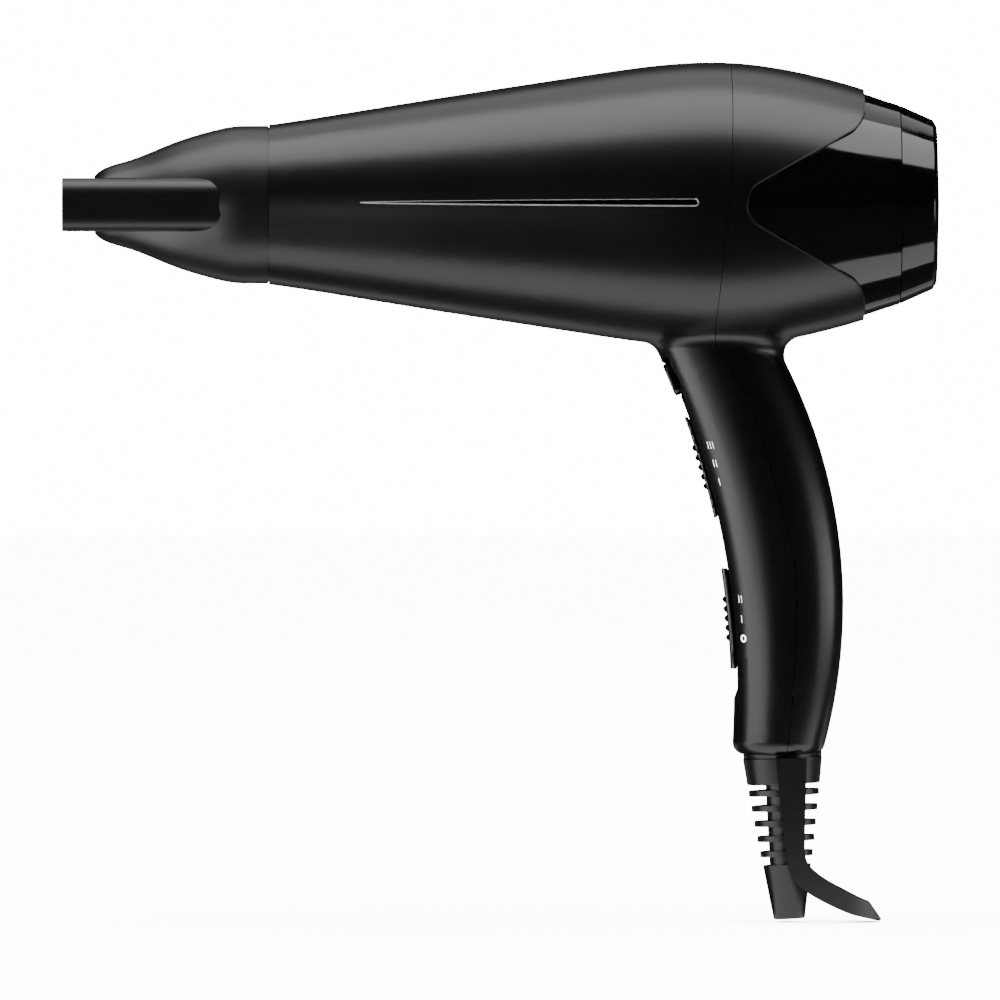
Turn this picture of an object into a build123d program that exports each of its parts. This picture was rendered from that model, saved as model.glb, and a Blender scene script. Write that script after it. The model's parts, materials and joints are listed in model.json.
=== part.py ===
from build123d import *
import math
import os

os.makedirs("parts", exist_ok=True)

# Frame: origin at the middle of the grip, -X is where the air leaves, +Z is up, mm.

# barrel
barrel_z = 113.1                    # barrel axis above the grip centre
barrel_r = 46.15                    # largest radius, just behind the middle
nose_x = -167.0
nose_step = 0.3                     # nose stands this far outside the nozzle collar
belly_x = -15.4
tail_x = 26.6
tail_r = 0.815 * barrel_r
shell_t = 2.2

# rear trim and filter cover
trim_step = 1.8                     # trim lies this far below the soft shell
trim_t = 2.0
trim_len = 11.6
cover_len = 13.1
cover_t = 2.4
cover_x = tail_x + trim_len
rear_x = cover_x + cover_len
cover_r = 0.702 * barrel_r
rear_r = 0.59 * barrel_r
wing_slope = 29.5                   # half angle of the V, degrees
wing_len = 38.5
wing_tip_x = tail_x - wing_len
wing_tip_r = 8.0
wing_root_r = 10.0

# grip, whose front and rear edges are arcs seen from the side
grip_top = barrel_z - barrel_r + 17.05      # buried in the barrel
grip_bottom = -66.0
grip_w_top = 35.0
grip_w_bottom = 31.5
grip_front_x = -14.3                # foremost line of the concave front edge
front_arc_r = 262.4
front_arc_z = -46.2
grip_rear_x = 20.1
rear_arc_r = 174.0
rear_arc_z = -17.0
panel_depth = 1.3                   # recess of the switch panel
junction_r = 6.0
foot_r = 4.0
front_arc_x = grip_front_x - front_arc_r
rear_arc_x = grip_rear_x - rear_arc_r

# switches
slider_len = 33.9
slider_w = 9.4
button_size = 11.0
button_drop = 10.95                 # button centre below the barrel's underside
heat_drop = 28.4                    # heat slider's middle below the button
speed_drop = 49.3                   # speed slider's middle below the heat slider
button_z = barrel_z - barrel_r - button_drop
heat_mid_z = button_z - heat_drop
speed_mid_z = heat_mid_z - speed_drop

# clearances
free_gap = 0.3                      # between pieces that move apart
seam_gap = 0.2                      # shell seams
running_gap = 0.05
bond_lap = 0.1                      # glued or clipped pieces stop this far short

# nozzle
collar_r = 25.7
collar_len = 7.5
nozzle_t = 1.5
nozzle_len = 67.0
dome_len = 56.8
slot_h = 17.4
slot_w_tip = 66.0
slot_w_root = 49.0
slot_len = 52.0
end_swell = 0.4                     # round end of the duct is a little taller than the duct
nose_r = collar_r + nose_step
nozzle_tip_x = nose_x - nozzle_len
slot_root_x = nozzle_tip_x + slot_len

# air path
sleeve_t = 1.5
spigot_r = collar_r - nozzle_t - sleeve_t - 2 * free_gap
spigot_t = 1.6
spigot_len = 17.0
fan_len = 16.0
fan_r = tail_r - shell_t - 3.1
fan_hub_r = 11.0
blade_count = 9
motor_r = 15.5
motor_len = 40.0
shaft_r = 1.5
fan_x = tail_x - fan_len - 7.6

# strain relief
flex_r = 3.5
relief_tilt = 2.45
relief_x = 0.2
relief_len = 53.6
relief_collar_r = 13.0
relief_neck_r = 8.0                 # held inside the foot of the grip
relief_core_r = 5.9
hoop_count = 5
hoop_pitch = 4.97
hoop_band = 1.9
hoop_top = 13.3

barrel_axis = Axis((0, 0, barrel_z), (1, 0, 0))
side = Plane.XZ                     # side view: x along the barrel, y up


def front_edge(z, inset=0):
    return front_arc_x + math.sqrt((front_arc_r + inset) ** 2 - (z - front_arc_z) ** 2)


def rear_edge(z, inset=0):
    return rear_arc_x + math.sqrt((rear_arc_r - inset) ** 2 - (z - rear_arc_z) ** 2)


def grip_section(z, front_inset, side_inset):
    front = front_edge(z, front_inset)
    rear = rear_edge(z, side_inset)
    share = (z - grip_bottom) / (grip_top - grip_bottom)
    half_w = (grip_w_bottom + (grip_w_top - grip_w_bottom) * share) / 2 - side_inset
    mid = (front + rear) / 2
    half_d = (rear - front) / 2
    return mid, half_d, half_w


def grip_outline(z, front_inset, side_inset):
    mid, half_d, half_w = grip_section(z, front_inset, side_inset)
    knee = 0.735                    # a little fuller than an ellipse (0.707)
    return [
        (mid + half_d, 0),
        (mid + knee * half_d, knee * half_w),
        (mid, half_w),
        (mid - knee * half_d, knee * half_w),
        (mid - half_d, 0),
        (mid - knee * half_d, -knee * half_w),
        (mid, -half_w),
        (mid + knee * half_d, -knee * half_w),
    ]


def barrel_line(inset=0):
    return [
        (nose_x, barrel_z + nose_r - inset),
        (nose_x + 49, barrel_z + 0.732 * barrel_r - inset),
        (nose_x + 101, barrel_z + 0.906 * barrel_r - inset),
        (belly_x, barrel_z + barrel_r - inset),
        (belly_x + 27.6, barrel_z + 0.902 * barrel_r - inset),
        (tail_x, barrel_z + tail_r - inset),
    ]


def trim_line(inset=0):
    return [
        (belly_x + 1.4, barrel_z + 0.993 * barrel_r - inset),
        (belly_x + 27.4, barrel_z + 0.888 * barrel_r - inset),
        (tail_x, barrel_z + tail_r - trim_step + 0.4 - inset),
        (cover_x, barrel_z + cover_r - inset),
    ]


def arc_at(z, offset=0):
    return (front_edge(z, offset), z)


def arc_band(z_low, z_high, outer, inner):
    mid = (z_low + z_high) / 2
    ThreePointArc(arc_at(z_low, outer), arc_at(mid, outer), arc_at(z_high, outer))
    Line(arc_at(z_high, outer), arc_at(z_high, inner))
    ThreePointArc(arc_at(z_high, inner), arc_at(mid, inner), arc_at(z_low, inner))
    Line(arc_at(z_low, inner), arc_at(z_low, outer))


def revolved(points, inner_points):
    with BuildPart() as tube:
        with BuildSketch(side):
            with BuildLine():
                Spline(*points)
                Line(points[-1], inner_points[-1])
                Spline(*inner_points)
                Line(inner_points[0], points[0])
            make_face()
        revolve(axis=barrel_axis)
    return tube.part


def ring(x_low, x_high, outer, inner):
    with BuildPart() as band:
        with BuildSketch(Plane.YZ.offset(x_low)):
            with Locations((0, barrel_z)):
                Circle(outer)
                if inner > 0:
                    Circle(inner, mode=Mode.SUBTRACT)
        extrude(amount=x_high - x_low)
    return band.part


def save(part, name):
    part.label = name
    export_step(part, f"parts/{name}.step")


# Zones seen from the side, which split the shells

wing_rad = math.radians(wing_slope)
wing_leg = tail_x - wing_tip_x + wing_tip_r / math.sin(wing_rad) - wing_tip_r
wing_rise = wing_leg * math.tan(wing_rad)


def wing_zone(gap):
    with BuildPart() as zone:
        with BuildSketch(side):
            with BuildLine():
                Polyline(
                    (tail_x - wing_leg, barrel_z),
                    (tail_x, barrel_z + wing_rise),
                    (tail_x, barrel_z + 70),
                    (90, barrel_z + 70),
                    (90, barrel_z - 70),
                    (tail_x, barrel_z - 70),
                    (tail_x, barrel_z - wing_rise),
                    close=True,
                )
            make_face()
            fillet(vertices().sort_by(Axis.X)[:1], wing_tip_r)
            roots = [v for v in vertices() if abs(v.X - tail_x) < 0.01 and abs(v.Y - barrel_z) < 60]
            fillet(roots, wing_root_r)
            if gap > 0:
                offset(amount=-gap)
        extrude(amount=70, both=True)
    return zone.part


belly_z = barrel_z - barrel_r       # underside of the barrel
seam = [
    (-17.5, barrel_z + 57),
    (-17.2, barrel_z + 15),
    (-18.7, barrel_z - 6.5),
    (-21.6, belly_z + 11.4),
    (-21.1, belly_z - 1.7),
    (-15.2, belly_z - 10.3),
    (-4.2, heat_mid_z + 0.5),
    (3.3, speed_mid_z + 21.5),
    (4.2, speed_mid_z - 8.3),
    (1.5, grip_bottom + 1.6),
    (0.5, grip_bottom - 6),
]


def rear_zone(shift):
    moved = [(x + shift, z) for x, z in seam]
    with BuildPart() as zone:
        with BuildSketch(side):
            with BuildLine():
                Spline(*moved)
                Polyline(moved[-1], (120, moved[-1][1]), (120, moved[0][1]), moved[0])
            make_face()
        extrude(amount=80, both=True)
    return zone.part


# Housing

relief_plane = Plane(
    origin=(relief_x, 0, grip_bottom),
    x_dir=(math.cos(math.radians(relief_tilt)), 0, math.sin(math.radians(relief_tilt))),
    z_dir=(0, -1, 0),
)
relief_axis = Axis((relief_x, 0, grip_bottom), relief_plane.y_dir)
panel_low = speed_mid_z - 27.8
panel_high = button_z - 5.6
window_w = slider_w + 3.2
grip_shares = (0, 0.24, 0.41, 0.56, 0.71, 0.85, 1)      # heights of the loft's sections


def grip_levels(low, high):
    return [low + share * (high - low) for share in grip_shares]


with BuildPart() as housing:
    with BuildSketch(side):
        with BuildLine():
            Spline(*barrel_line())
            Polyline(
                (tail_x, barrel_z + tail_r),
                (tail_x, barrel_z),
                (nose_x, barrel_z),
                (nose_x, barrel_z + nose_r),
            )
        make_face()
    revolve(axis=barrel_axis)
    for z in grip_levels(grip_bottom, grip_top):
        with BuildSketch(Plane.XY.offset(z)):
            with BuildLine():
                Spline(*grip_outline(z, -panel_depth, 0), periodic=True)
            make_face()
    loft()
    under_barrel = housing.edges().filter_by_position(Axis.Z, belly_z - 7, belly_z + 8)
    fillet(under_barrel.filter_by(GeomType.BSPLINE), junction_r)
    fillet(housing.edges().sort_by(Axis.Z)[0], foot_r)
    # hollow barrel, with the nose wall left in
    with BuildSketch(side):
        with BuildLine():
            inner = barrel_line(shell_t)
            Spline((nose_x + shell_t, inner[0][1] + 0.3), *inner[1:])
            Polyline(
                inner[-1],
                (tail_x + 5, inner[-1][1]),
                (tail_x + 5, barrel_z),
                (nose_x + shell_t, barrel_z),
                (nose_x + shell_t, inner[0][1] + 0.3),
            )
        make_face()
    revolve(axis=barrel_axis, mode=Mode.SUBTRACT)
    with BuildSketch(Plane.YZ.offset(nose_x - 1)):
        with Locations((0, barrel_z)):
            Circle(spigot_r + running_gap)
    extrude(amount=shell_t + 2, mode=Mode.SUBTRACT)
    # hollow grip
    for z in grip_levels(grip_bottom + shell_t, grip_top - 4):
        with BuildSketch(Plane.XY.offset(z)):
            with BuildLine():
                Spline(*grip_outline(z, shell_t, shell_t), periodic=True)
            make_face()
    loft(mode=Mode.SUBTRACT)
    # recess along the front for the switch panel, and the window behind it
    with BuildSketch(side):
        with BuildLine():
            ThreePointArc(arc_at(panel_low + 5), arc_at(0), arc_at(panel_high))
            Polyline(
                arc_at(panel_high),
                arc_at(panel_high, -8),
                (-40, panel_low),
                arc_at(panel_low, -1.8),
                arc_at(panel_low + 5),
            )
        make_face()
    extrude(amount=30, both=True, mode=Mode.SUBTRACT)
    with BuildSketch(side):
        with BuildLine():
            arc_band(panel_low + 7, panel_high - 3.5, -1, shell_t + 2)
        make_face()
    extrude(amount=window_w / 2, both=True, mode=Mode.SUBTRACT)

# Cool-shot button, its pocket and the gloss dish round it

press_dir = Vector(front_arc_x - front_edge(button_z), 0, front_arc_z - button_z).normalized()
button_plane = Plane(
    origin=(front_edge(button_z, -panel_depth + 0.2), 0, button_z),
    x_dir=(0, 1, 0),
    z_dir=press_dir,
)

button_depth = 6.0
button_reach = 11.0                 # how far the button and its stem go in
button_corner = 3.0
pocket_size = button_size + 2 * free_gap

with BuildPart() as button_pocket:
    with BuildSketch(button_plane.offset(-12)):
        RectangleRounded(pocket_size, pocket_size, button_corner + free_gap)
    extrude(amount=24)

dish_top_z = button_z + 6.2
dish_mid_z = button_z + 1
dish_low_z = button_z - 5.8
dish_top = (front_edge(dish_top_z) - 2.2, dish_top_z)
dish_mid = (front_edge(dish_mid_z) + 1.4, dish_mid_z)
dish_low = (front_edge(dish_low_z) - 0.1, dish_low_z)
bezel_t = 1.5
bezel_w = button_size + 7

with BuildPart() as finger_dish:
    with BuildSketch(side):
        with BuildLine():
            ThreePointArc(dish_top, dish_mid, dish_low)
            Polyline(dish_low, (dish_low[0] - 18, dish_low_z), (dish_low[0] - 18, dish_top_z), dish_top)
        make_face()
    extrude(amount=30, both=True)

with BuildPart() as bezel_seat:
    with BuildSketch(side):
        with BuildLine():
            ThreePointArc(dish_top, dish_mid, dish_low)
            inner_low = (dish_low[0] + bezel_t, dish_low[1])
            inner_mid = (dish_mid[0] + bezel_t, dish_mid[1])
            inner_top = (dish_top[0] + bezel_t, dish_top[1])
            Line(dish_low, inner_low)
            ThreePointArc(inner_low, inner_mid, inner_top)
            Line(inner_top, dish_top)
        make_face()
    extrude(amount=bezel_w / 2, both=True)

with BuildPart() as cool_button:
    with BuildSketch(button_plane.offset(-button_depth)):
        RectangleRounded(button_size, button_size, button_corner)
    extrude(amount=button_depth + 0.6)
    fillet(cool_button.faces().sort_by(Axis(button_plane.origin, press_dir))[-1].edges(), 0.8)
    with BuildSketch(button_plane.offset(-button_reach)):
        Rectangle(4, 4)
    extrude(amount=button_reach - button_depth)

# Accent strip: a slim drop let into both sides of the barrel

accent_x0 = nose_x + 29.7
accent_x1 = belly_x - 12.6
accent_h = 2.3
accent_depth = 0.8
accent_z = barrel_z + 0.7


def drop_zone(lift, height):
    half = height / 2
    nose = (accent_x0, accent_z + lift)
    top = (accent_x1 - half, accent_z + lift + half)
    low = (accent_x1 - half, accent_z + lift - half)
    with BuildPart() as zone:
        with BuildSketch(side):
            with BuildLine():
                Spline(nose, (accent_x0 + 45, accent_z + lift + 0.62 * half), top)
                ThreePointArc(top, (accent_x1, accent_z + lift), low)
                Spline(low, (accent_x0 + 45, accent_z + lift - 0.62 * half), nose)
            make_face()
        extrude(amount=70, both=True)
    return zone.part


accent_zone = drop_zone(0, accent_h)
accent_gloss_zone = drop_zone(0.45, accent_h - 0.55)

skin = revolved(barrel_line(-2), barrel_line(accent_depth))
accent_cut = skin & accent_zone
accent_all = accent_cut - revolved(barrel_line(-4), barrel_line(0.25))
accent_gloss = accent_all & accent_gloss_zone
accent_edge = accent_all - accent_gloss_zone

with BuildPart() as relief_hole:
    with BuildSketch(relief_plane):
        with Locations(((relief_neck_r + running_gap) / 2, 0)):
            Rectangle(relief_neck_r + running_gap, 12)
    revolve(axis=relief_axis)

shell = housing.part - relief_hole.part - button_pocket.part - finger_dish.part
shell = shell - bezel_seat.part - accent_cut
shell = shell - wing_zone(0)
housing_front = shell - rear_zone(0)
housing_rear = shell & rear_zone(seam_gap)

save(housing_front, "housing_front")
save(housing_rear, "housing_rear")
save(accent_gloss, "accent_inlay")
save(accent_edge, "accent_edge")
save(cool_button.part, "cool_button")
save(bezel_seat.part - button_pocket.part, "button_bezel")

# Rear trim with its wings, and the filter cover

trim_skin = revolved(trim_line(), trim_line(trim_t))
lap_r = tail_r - shell_t - 0.25
trim_ring = ring(tail_x - 6, tail_x + 2, lap_r, lap_r - 1.5)
rear_trim = (trim_skin & wing_zone(0.35)) + trim_ring
save(rear_trim, "rear_trim")

slot_rings = 5
slot_pitch = 0.147 * rear_r
slot_half = 0.325 * slot_pitch
slot_bar_w = 2.0

with BuildPart() as filter_cover:
    with BuildSketch(side):
        with BuildLine():
            rim_r = barrel_z + cover_r - 0.1
            edge_r = barrel_z + rear_r
            Polyline(
                (cover_x + free_gap, barrel_z),
                (cover_x + free_gap, rim_r),
                (cover_x + 6, rim_r - 2.5),
                (rear_x - 2.2, edge_r + 0.4),
                (rear_x - 1.0, edge_r - 1.6),
                (rear_x, barrel_z),
                close=True,
            )
        make_face()
        fillet([v for v in vertices() if v.X > rear_x - 3 and v.Y > barrel_z + 5], 0.9)
    revolve(axis=barrel_axis)
    with BuildSketch(side):
        with BuildLine():
            Polyline(
                (cover_x, barrel_z),
                (cover_x, rim_r - 2),
                (cover_x + 6, rim_r - 4.5),
                (rear_x - cover_t - 1, edge_r - 1.8),
                (rear_x - cover_t, barrel_z),
                close=True,
            )
        make_face()
    revolve(axis=barrel_axis, mode=Mode.SUBTRACT)
    # air slots: broken rings
    with BuildSketch(Plane.YZ.offset(rear_x - 6)):
        with Locations((0, barrel_z)):
            for index in range(slot_rings):
                slot_r = rear_r - 4.73 - index * slot_pitch
                Circle(slot_r + slot_half)
                Circle(slot_r - slot_half, mode=Mode.SUBTRACT)
            with PolarLocations(rear_r / 2, 8, start_angle=22.5):
                Rectangle(rear_r - 1, slot_bar_w, mode=Mode.SUBTRACT)
    extrude(amount=10, mode=Mode.SUBTRACT)
save(filter_cover.part, "filter_cover")

mesh_rings = 7
mesh_pitch = (rear_r - 2.2) / (mesh_rings + 0.82)
mesh_hole_r = 0.344 * mesh_pitch

with BuildPart() as filter_mesh:
    with BuildSketch(Plane.YZ.offset(rear_x - 6.2)):
        with Locations((0, barrel_z)):
            Circle(rear_r - 2.2)
            for mesh_ring in range(1, mesh_rings + 1):
                with PolarLocations(mesh_ring * mesh_pitch, 6 * mesh_ring):
                    Circle(mesh_hole_r, mode=Mode.SUBTRACT)
    extrude(amount=0.8)
save(filter_mesh.part, "filter_mesh")

# Nozzle, its sleeve, the spigot and the outlet grille

seat_x = nose_x - free_gap
dome_x = nose_x - dome_len
dome_tip_r = 9.4
collar_x = nose_x - collar_len


def dome_line(inset):
    return [
        (dome_x, barrel_z + dome_tip_r - inset),
        (dome_x + 10.3, barrel_z + 0.5525 * collar_r - inset),
        (dome_x + 25.8, barrel_z + 0.786 * collar_r - inset),
        (dome_x + 38.8, barrel_z + 0.9416 * collar_r - inset),
        (collar_x, barrel_z + collar_r - inset),
    ]


def duct(inset, root_x, overrun):
    height = slot_h - 2 * inset
    with BuildPart() as flat_duct:
        with BuildSketch(Plane.YZ.offset(nozzle_tip_x - overrun)):
            with Locations((0, barrel_z)):
                RectangleRounded(slot_w_tip - 2 * inset, height, height / 2 - 3)
        with BuildSketch(Plane.YZ.offset(root_x)):
            with Locations((0, barrel_z)):
                RectangleRounded(slot_w_root - 2 * inset, height, height / 2 - 3)
        loft()
        # round end in the side view
        with BuildSketch(side):
            with Locations(((nozzle_tip_x - 5 + root_x - height / 2) / 2, barrel_z)):
                Rectangle(root_x - height / 2 - nozzle_tip_x + 5, 2 * height)
            with Locations((root_x - height / 2, barrel_z)):
                Ellipse(height / 2, height / 2 + end_swell)
        extrude(amount=slot_w_tip, both=True, mode=Mode.INTERSECT)
    return flat_duct.part


with BuildPart() as nozzle:
    with BuildSketch(side):
        with BuildLine():
            Spline(*dome_line(0), tangents=((1, 1.3), (1, 0)))
            Polyline(
                (collar_x, barrel_z + collar_r),
                (seat_x, barrel_z + collar_r),
                (seat_x, barrel_z),
                (dome_x, barrel_z),
                (dome_x, barrel_z + dome_tip_r),
            )
        make_face()
    revolve(axis=barrel_axis)
    add(duct(0, slot_root_x, 0))
    with BuildSketch(side):
        with BuildLine():
            Spline(*dome_line(nozzle_t), tangents=((1, 1.3), (1, 0)))
            Polyline(
                (collar_x, barrel_z + collar_r - nozzle_t),
                (seat_x + 1, barrel_z + collar_r - nozzle_t),
                (seat_x + 1, barrel_z),
                (dome_x, barrel_z),
                (dome_x, barrel_z + dome_tip_r - nozzle_t),
            )
        make_face()
    revolve(axis=barrel_axis, mode=Mode.SUBTRACT)
    add(duct(nozzle_t + 0.3, slot_root_x - 3, 1), mode=Mode.SUBTRACT)
save(nozzle.part, "nozzle")

sleeve_r = spigot_r + free_gap + sleeve_t
sleeve_x = collar_x + free_gap
save(ring(sleeve_x, seat_x - free_gap, sleeve_r, spigot_r + free_gap), "nozzle_sleeve")

with BuildPart() as outlet_ring:
    add(ring(nose_x - spigot_len, nose_x + shell_t, spigot_r, spigot_r - spigot_t))
    add(ring(nose_x + shell_t, nose_x + shell_t + 1.6, spigot_r + 1.6, spigot_r - spigot_t))
save(outlet_ring.part, "outlet_ring")

grille_r = spigot_r - spigot_t - bond_lap
grille_bar = 1.1

with BuildPart() as outlet_grille:
    with BuildSketch(Plane.YZ.offset(nose_x - spigot_len + 1)):
        with Locations((0, barrel_z)):
            for share in (1, 2 / 3, 1 / 3):
                Circle(share * grille_r)
                Circle(share * grille_r - grille_bar, mode=Mode.SUBTRACT)
            spoke_len = 0.716 * grille_r
            with PolarLocations(grille_r - spoke_len / 2 - 0.7, 8):
                Rectangle(spoke_len, grille_bar)
    extrude(amount=3)
save(outlet_grille.part, "outlet_grille")

# Heater

heater_x0 = nose_x + 6
heater_x1 = heater_x0 + 75
tube_r = nose_r - shell_t - 0.2
cross_half = tube_r - 4
coil_r = tube_r - 3.1
coil_pitch = 6.0
coil_wire_r = 0.7

save(ring(heater_x0 - 1, heater_x1, tube_r, tube_r - 1), "heat_shield")

with BuildPart() as mica_cross:
    with Locations(((heater_x0 + heater_x1) / 2, 0, barrel_z)):
        Box(heater_x1 - heater_x0, 0.8, 2 * cross_half)
        Box(heater_x1 - heater_x0, 2 * cross_half, 0.8)
save(mica_cross.part, "mica_cross")

with BuildPart() as heater_coil:
    with BuildLine():
        coil_path = Helix(
            coil_pitch,
            heater_x1 - heater_x0 - 6,
            coil_r,
            center=(heater_x0 + 3, 0, barrel_z),
            direction=(1, 0, 0),
        )
    with BuildSketch(Plane(origin=coil_path @ 0, z_dir=coil_path % 0)):
        Circle(coil_wire_r)
    sweep(path=coil_path, is_frenet=True)
save(heater_coil.part, "heater_coil")

with BuildPart() as thermostat:
    with Locations((heater_x1 - 9, 7.5, barrel_z + 2.6)):
        Box(11, 8, 4)
    with BuildSketch(Plane.XY.offset(barrel_z + 4.6)):
        with Locations((heater_x1 - 9, 7.5)):
            Circle(3.2)
    extrude(amount=1.6)
save(thermostat.part, "thermostat")

with BuildPart() as thermal_fuse:
    with BuildSketch(Plane.YZ.offset(heater_x1 - 22)):
        with Locations((-7, barrel_z + 2.6)):
            Circle(2)
    extrude(amount=11)
    with BuildSketch(Plane.YZ.offset(heater_x1 - 28)):
        with Locations((-7, barrel_z + 2.6)):
            Circle(0.5)
    extrude(amount=23)
save(thermal_fuse.part, "thermal_fuse")

# Motor, its mount with the guide vanes, and the fan

motor_x1 = fan_x - 5               # clear of the fan
motor_x0 = motor_x1 - motor_len
duct_r = fan_r + 3.2

with BuildPart() as motor_mount:
    add(ring(motor_x0 + 2, motor_x1, duct_r, duct_r - 1.6))
    add(ring(motor_x0 + 6, motor_x1, motor_r + 1.8, motor_r))
    with BuildSketch(Plane.YZ.offset(motor_x0 + 20)):
        with Locations((0, barrel_z)):
            with PolarLocations((barrel_r - shell_t + duct_r) / 2 - 0.7, 4, start_angle=45):
                Rectangle(barrel_r - shell_t - duct_r + 0.4, 6)
    extrude(amount=10)
    with BuildSketch(Plane.YZ.offset(motor_x0 + 8)):
        with Locations((0, barrel_z)):
            with PolarLocations((motor_r + 1.2 + duct_r - 1) / 2, 7):
                Rectangle(duct_r - motor_r - 2, 1.5)
    extrude(amount=motor_len - 12)
save(motor_mount.part, "motor_mount")

with BuildPart() as motor:
    add(ring(motor_x0, motor_x1 - 1, motor_r, shaft_r + running_gap))
    add(ring(motor_x1 - 1, motor_x1 + 1.5, 5, shaft_r + running_gap))
    tail_edges = motor.edges().filter_by(GeomType.CIRCLE).sort_by(Axis.X)
    fillet(tail_edges.filter_by_position(Axis.X, motor_x0 - 1, motor_x0 + 1)[:1], 1)
save(motor.part, "motor")

save(ring(motor_x0 + 3, fan_x + fan_len - 2, shaft_r, 0), "motor_shaft")

with BuildPart() as fan:
    add(ring(fan_x, fan_x + fan_len, fan_hub_r, fan_hub_r - 2))
    add(ring(fan_x + fan_len - 3, fan_x + fan_len, fan_hub_r, shaft_r))
    add(ring(fan_x + 2, fan_x + fan_len - 2, 4, shaft_r))
    blade_len = fan_r - fan_hub_r + 1
    for index in range(blade_count):
        turn = Rot(X=360 * index / blade_count)
        place = Pos(fan_x + fan_len / 2, 0, barrel_z) * turn * Pos(0, 0, fan_hub_r - 1 + blade_len / 2)
        add(place * Rot(Z=38) * Box(fan_len + 1, 1.3, blade_len, mode=Mode.PRIVATE))
save(fan.part, "fan")

# Switch panel, sliders and what they work

stem_w = 4.0
stem_slot_w = stem_w + 2 * free_gap
stem_len = 7.0
slide_step_heat = 6.1
slide_step_speed = 6.4
panel_t = 2.0
panel_gap = 0.1
stem_reach = 4.4                    # depth of the stems below the front arc
switch_top = stem_reach + 0.6
rib_count = 5
rib_pitch = 3.1
rib_r = 1.05


def side_region(z_low, z_high, outer, inner, width):
    with BuildPart() as region:
        with BuildSketch(side):
            with BuildLine():
                arc_band(z_low, z_high, outer, inner)
            make_face()
        extrude(amount=width / 2, both=True)
    return region.part


with BuildPart() as switch_panel:
    add(side_region(panel_low + 7.1, panel_high - 3.6, 0, panel_t, window_w - 2 * panel_gap))
    for mid_z, step in ((heat_mid_z, slide_step_heat), (speed_mid_z, slide_step_speed)):
        reach = stem_len / 2 + step + 0.8
        add(side_region(mid_z - reach, mid_z + reach, -2, 5, stem_slot_w), mode=Mode.SUBTRACT)
save(switch_panel.part, "switch_panel")


def slider(mid_z, proud, name):
    top = -free_gap - proud
    with BuildPart() as knob:
        low = mid_z - slider_len / 2 + 0.6
        high = mid_z + slider_len / 2 - 0.6
        add(side_region(low, high, top, -free_gap, slider_w))
        long_edges = knob.edges().filter_by(GeomType.CIRCLE).sort_by(SortBy.RADIUS)[:2]
        fillet(long_edges, 0.7 * proud)
        for index in range(rib_count):
            z = mid_z + (index - (rib_count - 1) / 2) * rib_pitch
            with BuildSketch(side):
                with Locations((front_edge(z, top) + 0.15, z)):
                    Circle(rib_r)
            extrude(amount=slider_w / 2 - 0.8, both=True)
        add(side_region(mid_z - stem_len / 2, mid_z + stem_len / 2, -free_gap - 0.2, stem_reach, stem_w))
    save(knob.part, name)


slider(heat_mid_z, 1.1, "heat_slider")
slider(speed_mid_z, 2.0, "speed_slider")

switch_depth = 7.0
lug_depth = 3.0
board_t = 1.4
board_x = switch_top + switch_depth + lug_depth + 0.2

for mid_z, name in ((heat_mid_z, "heat_switch"), (speed_mid_z, "speed_switch")):
    with BuildPart() as switch_body:
        body_low = switch_top + switch_depth
        add(side_region(mid_z - 14, mid_z + 14, switch_top, body_low, 9))
        add(side_region(mid_z - 8, mid_z + 8, body_low, body_low + lug_depth, 1.2))
    save(switch_body.part, name)

with BuildPart() as cool_switch:
    with BuildSketch(button_plane.offset(-button_reach - 8.2)):
        Rectangle(6, 9)
    extrude(amount=6)
save(cool_switch.part, "cool_switch")

with BuildPart() as circuit_board:
    with BuildSketch(side):
        with BuildLine():
            arc_band(grip_bottom + 24, heat_mid_z + 18.4, board_x, board_x + board_t)
        make_face()
    extrude(amount=9, both=True)
save(circuit_board.part, "circuit_board")

capacitor_z = speed_mid_z + 17.7
capacitor_w = 7.0

with BuildPart() as capacitor:
    with BuildSketch(Plane.XY.offset(capacitor_z)):
        with Locations((front_edge(capacitor_z + 6) + board_x + board_t + capacitor_w / 2 + 1.2, 0)):
            Rectangle(capacitor_w, 12)
    extrude(amount=13)
save(capacitor.part, "capacitor")

# Leads, from the clamp past the board into the barrel

lead_r = 1.1
lead_side = 2.2
lead_gap = shell_t + lead_r + 1.5   # from the grip's rear edge to a lead's middle
lead_top = button_z + 4

with BuildPart() as leads:
    for lead_y in (-lead_side, lead_side):
        with BuildLine():
            lead_path = Spline(
                (relief_x + 1, lead_y, grip_bottom + 17),
                (relief_x + 6, lead_y, grip_bottom + 26),
                (rear_edge(speed_mid_z + 11.7) - lead_gap, lead_y * 2, speed_mid_z + 11.7),
                (rear_edge(heat_mid_z + 2.4) - lead_gap - 4.4, lead_y * 2, heat_mid_z + 2.4),
                (rear_edge(lead_top) - lead_gap - 5.5, lead_y * 2, lead_top),
                (rear_edge(lead_top) - lead_gap - 23.3, lead_y * 2.6, belly_z + 7.5),
            )
        with BuildSketch(Plane(origin=lead_path @ 0, z_dir=lead_path % 0)):
            Circle(lead_r)
        sweep(path=lead_path)
save(leads.part, "leads")

# Strain relief with its hoops

relief_up = Plane(origin=relief_plane.origin, x_dir=relief_plane.x_dir, z_dir=relief_plane.y_dir)
hoop_t = 1.4
hoop_r = relief_collar_r - 1.5      # first and largest hoop
hoop_taper = 0.72
rib_w = 4.5
collar_h = 9.6
cone_top = hoop_top + (hoop_count - 1) * hoop_pitch + 2.7

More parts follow.
